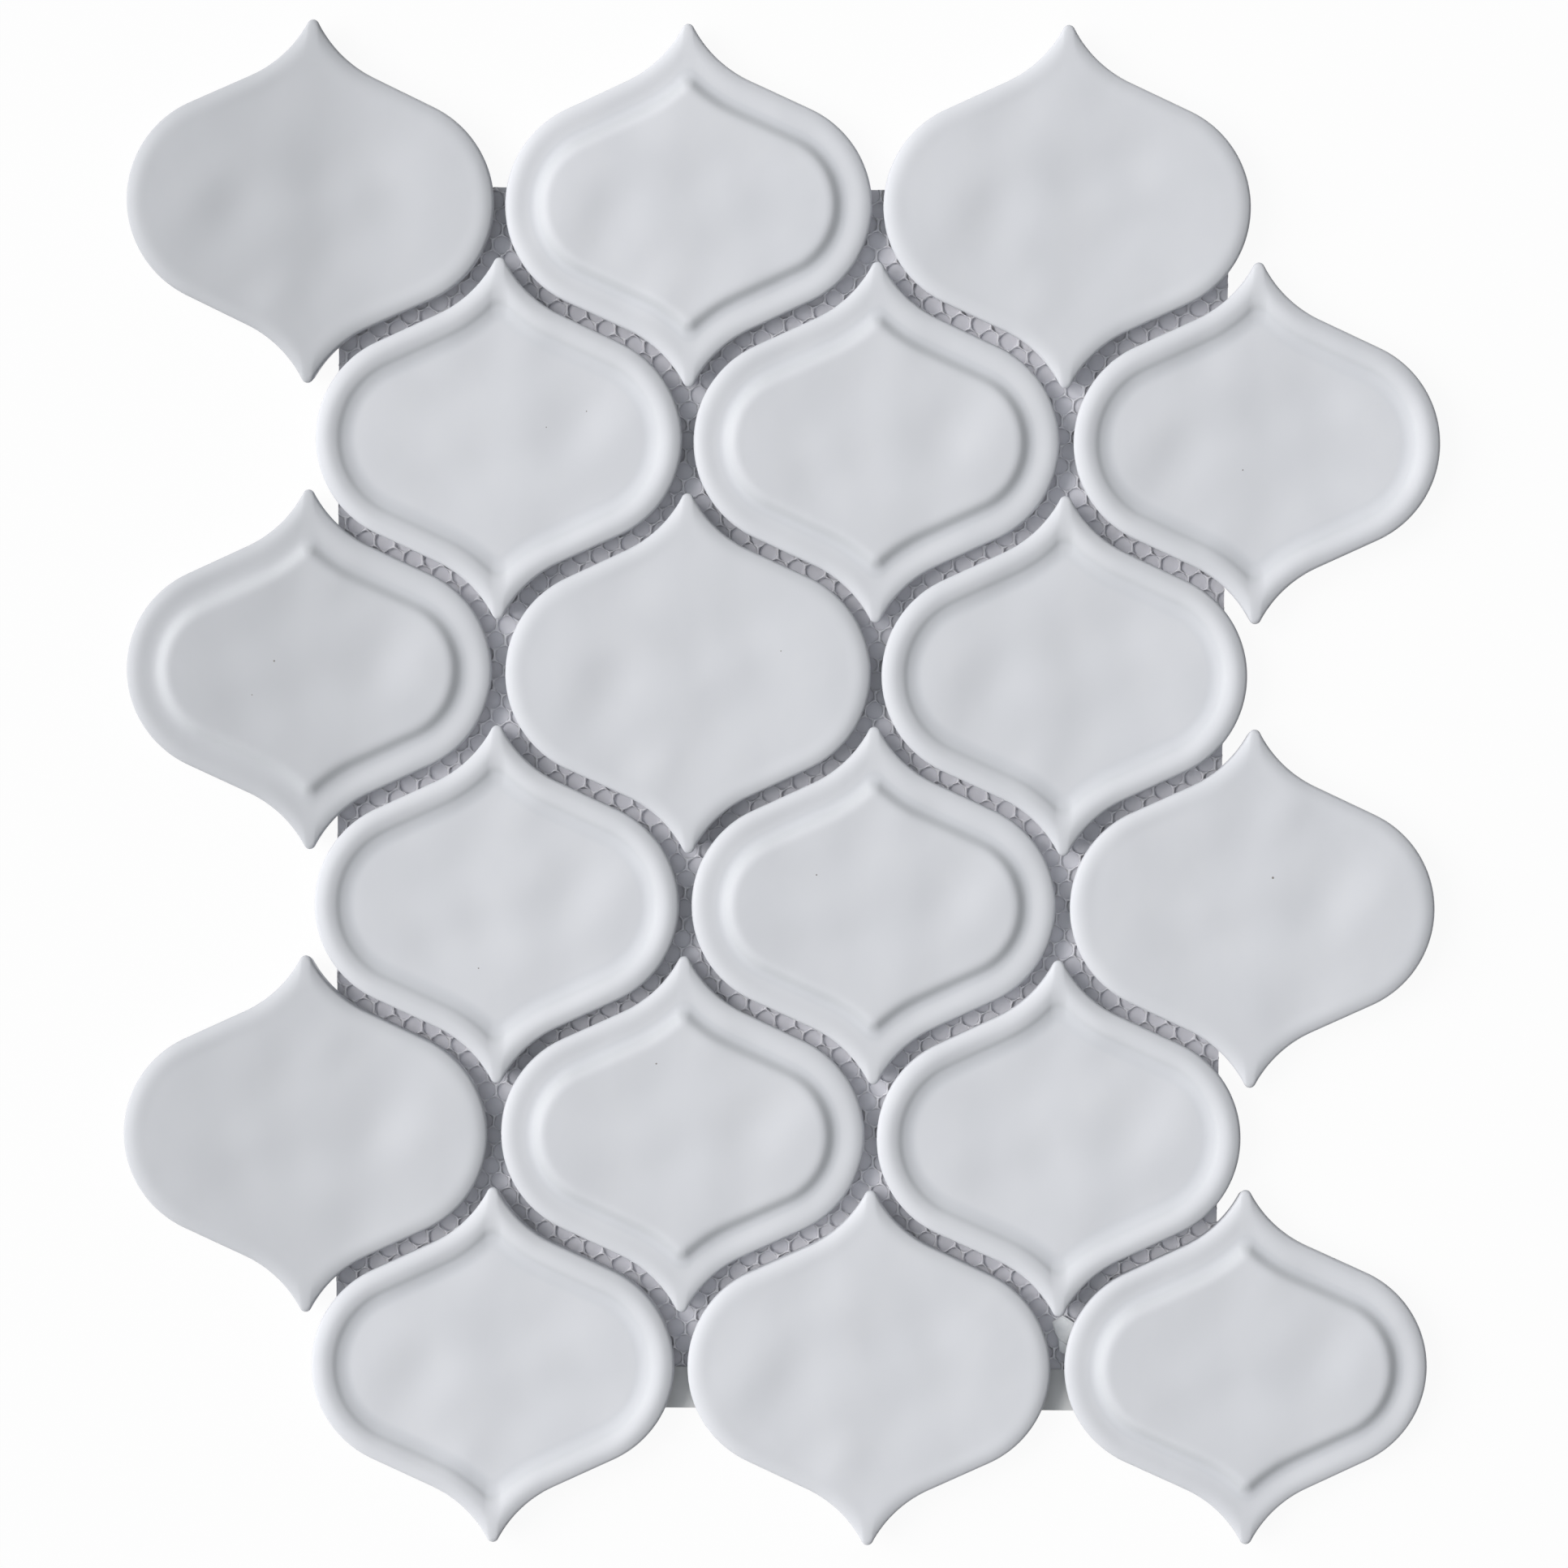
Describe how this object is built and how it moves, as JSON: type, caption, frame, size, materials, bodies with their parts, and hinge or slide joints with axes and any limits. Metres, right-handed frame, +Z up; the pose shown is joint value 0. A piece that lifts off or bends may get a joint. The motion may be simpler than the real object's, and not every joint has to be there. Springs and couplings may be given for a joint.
{
  "type": "arabesque mosaic tile sheet",
  "caption": "Net-backed mosaic sheet of glazed arabesque lantern tiles in staggered rows, some with a raised panel or rim, for covering walls and backsplashes.",
  "frame": {"origin": "centre of the sheet's outline, on the surface that the backing net lies on", "axes": "+X along the tile rows to the right, +Y across the rows to the first row, +Z up out of the glazed faces"},
  "size_m": [0.2595, 0.3012, 0.0085],
  "materials": {
    "glazed_tile": "satin white glaze",
    "net": "knitted yarn"
  },
  "bodies": {
    "root": {"backing_net": "net", "tile_r1c1_plain": "glazed_tile", "tile_r1c2_raised_panel": "glazed_tile", "tile_r1c3_plain": "glazed_tile", "tile_r2c1_raised_rim": "glazed_tile", "tile_r2c2_raised_panel": "glazed_tile", "tile_r2c3_raised_rim": "glazed_tile", "tile_r3c1_raised_panel": "glazed_tile", "tile_r3c2_plain": "glazed_tile", "tile_r3c3_raised_rim": "glazed_tile", "tile_r4c1_raised_rim": "glazed_tile", "tile_r4c2_raised_panel": "glazed_tile", "tile_r4c3_plain": "glazed_tile", "tile_r5c1_plain": "glazed_tile", "tile_r5c2_raised_panel": "glazed_tile", "tile_r5c3_raised_rim": "glazed_tile", "tile_r6c1_raised_rim": "glazed_tile", "tile_r6c2_plain": "glazed_tile", "tile_r6c3_raised_panel": "glazed_tile"}
  },
  "joints": []
}
